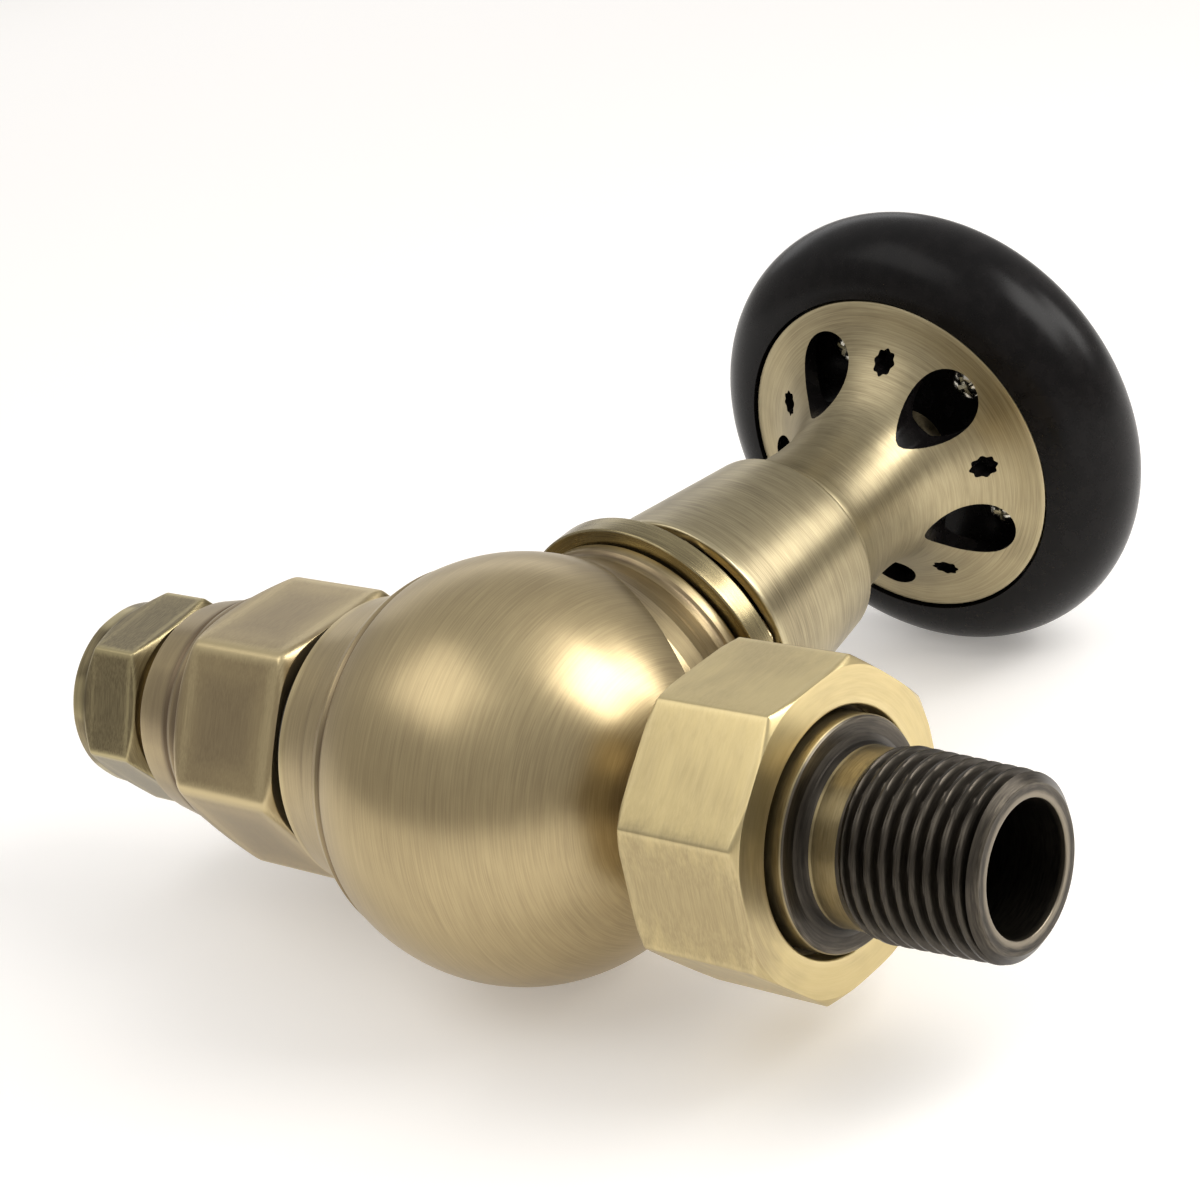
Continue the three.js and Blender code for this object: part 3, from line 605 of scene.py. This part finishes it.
# ---------- inlet ----------
def build_inlet():
    adaptor = turned("adaptor", [
        (-23.8, 11), (-23.8, 14.3), (-26.1, 14.3), (-26.1, 16.9, 0.5), (-27.3, 19.4, 0.6),
        (-41.8, 19.4, 0.6), (-43.9, 16.6, 0.6), (-44.4, 15.6, 0.3), (-45.6, 15.55),
        (-46.4, 15.2, 0.2), (-46.9, 14.5, 0.15), (-47.5, 14.75, 0.2), (-52.9, 13.85),
        (-53.4, 13.3, 0.3), (-53.4, 10.2),
        (-62.2, 10.2), (-62.2, 9.6), (-59.6, 7.8), (-45, 7.75), (-45, 6.5), (-16, 6.5), (-16, 11),
    ], fillet=0.3, flats=(6, 32.24, -2.6, 40.0, 34.0), step=0.5, bearings=corner_bearings(6, -2.6),
        wear_reach=1.3)
    add(adaptor, "valve", hex_brass, "antique_brass", "inlet_adaptor")

    seal = turned("adaptor_o_ring", arc(-24.95, 15.4, 0.74, 0, 345, 23), fillet=0, sides=128)
    add(seal, "valve", rubber, "rubber", "inlet_o_ring")

    nut = turned("pipe_nut", [
        (-56.4, 10.5), (-56.4, 11.7, 0.2), (-57.6, 13.9, 0.2), (-64.5, 13.9, 0.2),
        (-66.2, 12.1, 0.4), (-68.3, 12.0, 0.3), (PIPE_FACE, 11.4, 0.3), (PIPE_FACE, 7.85, 0.2),
        (-66.9, 7.85), (-66.9, 10.5),
    ], fillet=0.25, flats=(6, 23.9, 2.6, 90.0, 90.0), step=0.3, bearings=corner_bearings(6, 2.6))
    add(nut, "pipe_nut", pipe_nut_brass, "olive_brass", "compression_nut")


# ---------- union and tail ----------
def build_union():
    nut = turned("octagon_nut", [
        (UNION_BACK, 16.3, 0.2), (UNION_BACK, 18.9, 0.1), (UNION_BACK + 0.5, 19.7, 0.1),
        (UNION_FRONT - 0.8, 19.7, 0.1), (UNION_FRONT, 18.4, 0.1), (UNION_FRONT, 14.0, 0.3),
        (UNION_FRONT - 3.1, 14.0, 0.2), (UNION_FRONT - 3.1, 16.3),
    ], fillet=0.2, flats=(8, 36.12, 18.9, 260.0, 110.0), step=0.35,
        bearings=corner_bearings(8, 18.9))
    add(nut, "union", union_brass, "light_brass", "union_nut")

    first_crest, crest_r, depth, turns = 69.1, 10.27, 1.1, 9.2

    def thread(along, radii, angles):
        """A taper thread cut into the plain neck, running out at both ends."""
        turn = (first_crest - along) / THREAD_PITCH + angles / (2 * math.pi)
        crest = crest_r + THREAD_TAPER * (first_crest - along)
        phase = np.abs((turn + 0.5) % 1 - 0.5) * 2
        groove = np.clip((phase - 0.16) / 0.66, 0, 1)
        groove = groove * groove * (3 - 2 * groove) * depth
        run_out = np.clip((turns - turn) / 0.5, 0, 1)
        cut = crest - groove
        start = first_crest - turns * THREAD_PITCH
        if along > TAIL_FACE - 0.9 or along < start - 1.2 or radii[0] < 9:
            return radii
        inside = np.minimum(cut, radii + 0.9)
        return np.where(turn < turns, inside * run_out + (1 - run_out) * radii, radii)

    back = 39.6
    outer = [
        (back, 7.5), (back, 15.2), (43.2, 15.2), (43.2, 13.2), (47.8, 13.2, 0.15),
        (48.1, 12.9, 0.1), (48.1, 11.2, 0.1), (48.5, 10.35, 0.3), (49.6, 10.0, 0.5),
        (52.8, 10.0, 0.1),
        (69.05, 10.0, 0.0), (69.15, 10.15, 0.0), (TAIL_FACE, 9.1, 0.15), (TAIL_FACE, 7.5, 0.2),
    ]
    tail = turned("threaded_tail", outer, fillet=0.15, step=0.11, sides=128, shape=thread)
    tail.data.materials.append(tail_metal)
    tail.data.materials.append(tail_bronze)
    for polygon in tail.data.polygons:
        polygon.material_index = int(is_rubbed_bronze(polygon.center / MM))
    add(tail, "tailpiece", None, "gunmetal", "tail")


def is_rubbed_bronze(point):
    """Whether the blackening is rubbed off at a point of the tail, in mm: flange rim and neck."""
    radius = math.hypot(point.y, point.z)
    return 43 < point.x < 47.95 and radius > 12.9 or 49.3 < point.x < 52.7 and radius > 9


# ---------- stem ----------
def build_stem():
    ring = turned("ring", [
        (24.1, 13.4), (24.1, 18.9, 0.25), (24.3, 19.1, 0.2), (27.3, 19.1, 0.3), (27.5, 18.7, 0.2),
        (27.5, 13.4),
    ], "Y", fillet=0.15)
    add(ring, "valve", ring_brass, "antique_brass", "collar_ring")

    bonnet = turned("bonnet_hex", [
        (12, 10), (12, 13), (27.8, 13), (27.8, 15.9, 0.2), (30.7, 15.9, 0.2), (31.3, 15.0, 0.2),
        (31.3, 10), (46, 10), (46, 7.3), (37.5, 7.3), (37.5, 4.3), (26.3, 4.3), (26.3, 10),
    ], "Y", fillet=0.15, flats=(6, 27.54, 20.5, 120.0, 90.0), step=0.5,
        bearings=corner_bearings(6, 20.5))
    add(bonnet, "valve", bonnet_brass, "olive_brass", "bonnet")

    shroud = turned("sleeve", [
        (31.6, 14.8), (31.6, 16.1, 0.35), (54.4, 13.35, 1.0), (54.4, 12.1, 0.3), (53.0, 12.1),
        (53.0, 12.2), (52.6, 12.3), (31.8, 14.8),
    ], "Y", fillet=0.0, step=0.8)
    add(shroud, "valve", shroud_brass, "antique_brass", "shroud")


# ---------- handwheel ----------
def egg_outline(turn):
    """An egg in the plane across the stem, its narrow end towards the axis."""
    tip, tip_r, broad, broad_r = 13.4, 1.9, 15.55, 4.4
    lean = math.acos((tip_r - broad_r) / (broad - tip) * 0.86)
    outer = [(broad + broad_r * math.cos(a), broad_r * math.sin(a))
             for a in np.linspace(-lean, lean, 40)]
    inner = [(tip + tip_r * math.cos(a), tip_r * math.sin(a))
             for a in np.linspace(lean, 2 * math.pi - lean, 16)]
    return turn_outline(outer + inner, turn)


def star_outline(turn):
    """A small round hole with a scalloped edge."""
    centre_r, r, lobes = 16.2, 1.42, 8
    angles = np.linspace(0, 2 * math.pi, 64, endpoint=False)
    radii = r * (1 + 0.09 * np.cos(lobes * angles))
    points = [(centre_r + s * math.cos(a), s * math.sin(a)) for a, s in zip(angles, radii)]
    return turn_outline(points, turn)


def turn_outline(points, turn):
    c, s = math.cos(turn), math.sin(turn)
    return [(x * c - z * s, x * s + z * c) for x, z in points]


def build_hub():
    outer = [
        (52.4, 4.4), (52.4, 11.7, 0.1), (56, 11.7), (59, 11.0), (63, 10.55), (67, 10.5), (70, 10.9),
        (72.6, 11.7), (75, 13.2), (77, 15.1), (78.6, 17.1), (79.8, 19.4), (80.4, 21.3),
        (80.9, 22.95, 0.1), (82.6, 22.95), (82.6, 20.6),
        (82.0, 18.6), (80.9, 16.4), (79.2, 14.3), (77.4, 12.6), (76.4, 11.6), (76.4, 4.4),
    ]
    hub = turned("bell", smooth_outline(outer, 2, 12), "Y", fillet=0.0, sides=240, step=0.6)
    hub.data.materials.append(hub_brass)
    hub.data.materials.append(black_lacquer)
    # The bell's hollow outer side, under the rim, is coloured black.
    for polygon in hub.data.polygons:
        polygon.material_index = int(is_inside_bell(polygon.center / MM))
    cutters = []
    for i in range(WHEEL_HOLES):
        small = FIRST_SMALL_HOLE + i * HOLE_PITCH
        cutters.append(prism_along_stem(egg_outline(small + HOLE_PITCH / 2), 66, 86))
        cutters.append(prism_along_stem(star_outline(small), 66, 86))
    for cutter in cutters:
        cutter.data.materials.append(black_lacquer)
    cut_with(hub, cutters)
    add(hub, "wheel", None, "antique_brass", "wheel_hub")


def is_inside_bell(point):
    """Whether a point of the bell, in mm, is on its hollow outer side."""
    return point.y > 76.2 and point.y - 76.2 > 0.62 * (math.hypot(point.x, point.z) - 11.6) + 0.1


def smooth_outline(points, first, last, parts=4):
    """Draws a smooth curve through the outline's points from first to last."""
    out = list(points[:first])
    for i in range(first, last):
        p0, p1, p2, p3 = (Vector(points[k][:2]) for k in (i - 1, i, i + 1, min(i + 2, last)))
        if i == first:
            p0 = p1 * 2 - p2
        for k in range(parts):
            t = k / parts
            q = 0.5 * ((2 * p1) + (p2 - p0) * t + (2 * p0 - 5 * p1 + 4 * p2 - p3) * t**2
                       + (3 * p1 - p0 - 3 * p2 + p3) * t**3)
            out.append((q.x, q.y))
    return out + list(points[last:])


def build_rim():
    recess = 23.25
    tube = arc(RIM_Y, RIM_RING_R, RIM_TUBE_R - 0.05, -88, 215, 72)
    front_r = 18.8
    tube = [p for p in tube if p[1] > front_r]
    rim = turned("black_rim", [
        (85.0, 5.0), (85.0, recess, 0.0), *tube, (88.0, front_r), (88.0, 5.0),
    ], "Y", fillet=0.0, sides=240)
    add(rim, "wheel", black_lacquer, "black_lacquer", "wheel_rim")
    cover = turned("wheel_cap", [
        (88.3, 0), (88.3, 18.5, 0.2), (91.3, 18.5, 0.4), (92.1, 17.6, 0.8), (93.3, 13.0, 6.0),
        (94.2, 7.0, 6.0), (94.5, 0),
    ], "Y", fillet=0.2, step=0.8)
    add(cover, "wheel", hub_brass, "antique_brass", "wheel_cover")


def build_wheel_screws():
    ring_r, head_r, seat_y = 16.0, 2.5, 84.7
    for i in range(WHEEL_HOLES):
        name = f"wheel_screw_{i + 1}"
        screw = turned(f"pan_screw_{i + 1}", [
            (seat_y - 2.0, 0), (seat_y - 1.95, 1.0, 0.8), (seat_y - 1.5, 2.0, 0.6),
            (seat_y - 0.7, head_r, 0.5), (seat_y, head_r, 0.1), (seat_y, 1.2), (90.2, 1.2),
            (90.6, 0.8), (90.6, 0),
        ], "Y", sides=48, fillet=0.1, step=0.25)
        turn = 0.7 * i + 0.3
        slots = []
        for k in range(2):
            slot_outline = [(-1.3, -0.28), (1.3, -0.28), (1.3, 0.28), (-1.3, 0.28)]
            slots.append(prism_along_stem(turn_outline(slot_outline, turn + k * math.pi / 2),
                                          seat_y - 3, seat_y - 1.0))
        cut_with(screw, slots)
        bearing = FIRST_SMALL_HOLE + (i + 0.5) * HOLE_PITCH
        out = Vector((ring_r * math.cos(bearing), 0, ring_r * math.sin(bearing)))
        screw.data.transform(Matrix.Translation(out * MM))
        add(screw, "wheel", nickel, "nickel", name)


# ---------- CAD pieces that stay ----------
def paint_cad_nodes():
    looks = {"raw_brass": raw_brass, "rubber": rubber, "packing": packing, "nickel": nickel,
             "antique_brass": raw_brass, "light_brass": raw_brass, "olive_brass": raw_brass,
             "gunmetal": raw_brass, "black_lacquer": black_lacquer}
    slots = {s["node"]: s["material_slot"] for s in record["subparts"]}
    for name, obj in frame["nodes"].items():
        obj.data.materials.clear()
        obj.data.materials.append(looks[slots[name]])
        obj.data.shade_smooth()
        obj.data.set_sharp_from_angle(angle=KEEP_SHARP)


# ---------- floor, light, camera ----------
def build_floor():
    half = 2.0  # metres from the middle to a side
    mesh = bpy.data.meshes.new("floor")
    corners = [(-half, -half, 0), (half, -half, 0), (half, half, 0), (-half, half, 0)]
    mesh.from_pydata(corners, [], [(0, 1, 2, 3)])
    floor = bpy.data.objects.new("floor", mesh)
    bpy.context.scene.collection.objects.link(floor)
    nodes = Nodes("pale_floor")
    coordinates = nodes.new("TexCoord").outputs["Object"]
    mottle = nodes.noise(coordinates, 3.0, 2.0)
    nodes.link(nodes.mix(mottle, rgb(0.90, 0.885, 0.87), rgb(0.93, 0.915, 0.90)),
               nodes.shader.inputs["Base Color"])
    nodes.shader.inputs["Roughness"].default_value = 0.6
    nodes.shader.inputs["Emission Color"].default_value = rgb(1.0, 0.965, 0.92)
    nodes.shader.inputs["Emission Strength"].default_value = 0.25
    mesh.materials.append(nodes.material)


def softbox(name, azimuth, elevation, distance, width, height, radiance, colour=(1, 1, 1)):
    """A rectangular light that faces the ball, at a bearing from +X towards +Y."""
    a, e = math.radians(azimuth), math.radians(elevation)
    out = Vector((math.cos(a) * math.cos(e), math.sin(a) * math.cos(e), math.sin(e)))
    light = bpy.data.lights.new(name, "AREA")
    light.shape = "RECTANGLE"
    light.size, light.size_y = width, height
    light.energy = radiance * math.pi * width * height
    light.color = colour
    lamp = bpy.data.objects.new(name, light)
    lamp.location = CENTRE + out * distance
    lamp.rotation_euler = (-out).to_track_quat("-Z", "Y").to_euler()
    lamp.visible_camera = False
    bpy.context.scene.collection.objects.link(lamp)


def build_light():
    world = bpy.data.worlds.new("studio")
    bpy.context.scene.world = world
    world.use_nodes = True
    tree = world.node_tree
    background = tree.nodes["Background"]
    direction = tree.nodes.new("ShaderNodeTexCoord")
    parts = tree.nodes.new("ShaderNodeSeparateXYZ")
    ramp = tree.nodes.new("ShaderNodeValToRGB")
    tree.links.new(direction.outputs["Generated"], parts.inputs[0])
    height = tree.nodes.new("ShaderNodeMapRange")
    height.inputs["From Min"].default_value = -0.2
    height.inputs["From Max"].default_value = 1.0
    tree.links.new(parts.outputs["Z"], height.inputs["Value"])
    tree.links.new(height.outputs[0], ramp.inputs[0])
    stops = [(0.0, (0.42, 0.40, 0.38)), (0.25, (0.50, 0.48, 0.46)), (0.6, (0.58, 0.57, 0.56)),
             (1.0, (0.70, 0.70, 0.70))]
    while len(ramp.color_ramp.elements) < len(stops):
        ramp.color_ramp.elements.new(0.5)
    for element, (at, colour) in zip(ramp.color_ramp.elements, stops):
        element.position = at
        element.color = (*colour, 1)
    tree.links.new(ramp.outputs[0], background.inputs["Color"])
    background.inputs["Strength"].default_value = 0.95
    softbox("key", 26, 43, 0.36, 0.18, 0.18, 6.5, (1.0, 0.985, 0.96))
    softbox("key_side", 48, 26, 0.5, 0.15, 0.18, 6.0, (1.0, 0.985, 0.96))
    softbox("top_left", -125, 60, 0.7, 0.50, 0.40, 1.5, (1.0, 0.98, 0.95))
    softbox("back", 138, 18, 0.8, 0.60, 0.20, 0.9, (0.97, 0.98, 1.0))


def build_camera():
    """Looks at the ball from above the tail end, rolled so the flow axis drops to the right."""
    azimuth, elevation, roll = 44.45, 23.31, -12.7
    position = Vector((232.6, -218.5, 156.4)) * MM
    a, e = math.radians(azimuth), math.radians(elevation)
    forward = Vector((-math.sin(a) * math.cos(e), math.cos(a) * math.cos(e), -math.sin(e)))
    level = forward.cross(Vector((0, 0, 1))).normalized()
    right = Matrix.Rotation(math.radians(-roll), 3, forward) @ level
    up = right.cross(forward)
    data = bpy.data.cameras.new("camera")
    data.lens, data.sensor_width = 90.0, 36.0
    camera = bpy.data.objects.new("camera", data)
    camera.matrix_world = Matrix((right, up, -forward)).transposed().to_4x4()
    camera.matrix_world.translation = CENTRE + position
    bpy.context.scene.collection.objects.link(camera)
    bpy.context.scene.camera = camera


build_camera()
build_body()
build_inlet()
build_union()
build_stem()
build_hub()
build_rim()
build_wheel_screws()
paint_cad_nodes()
build_floor()
build_light()
bpy.context.scene.view_settings.view_transform = "Standard"
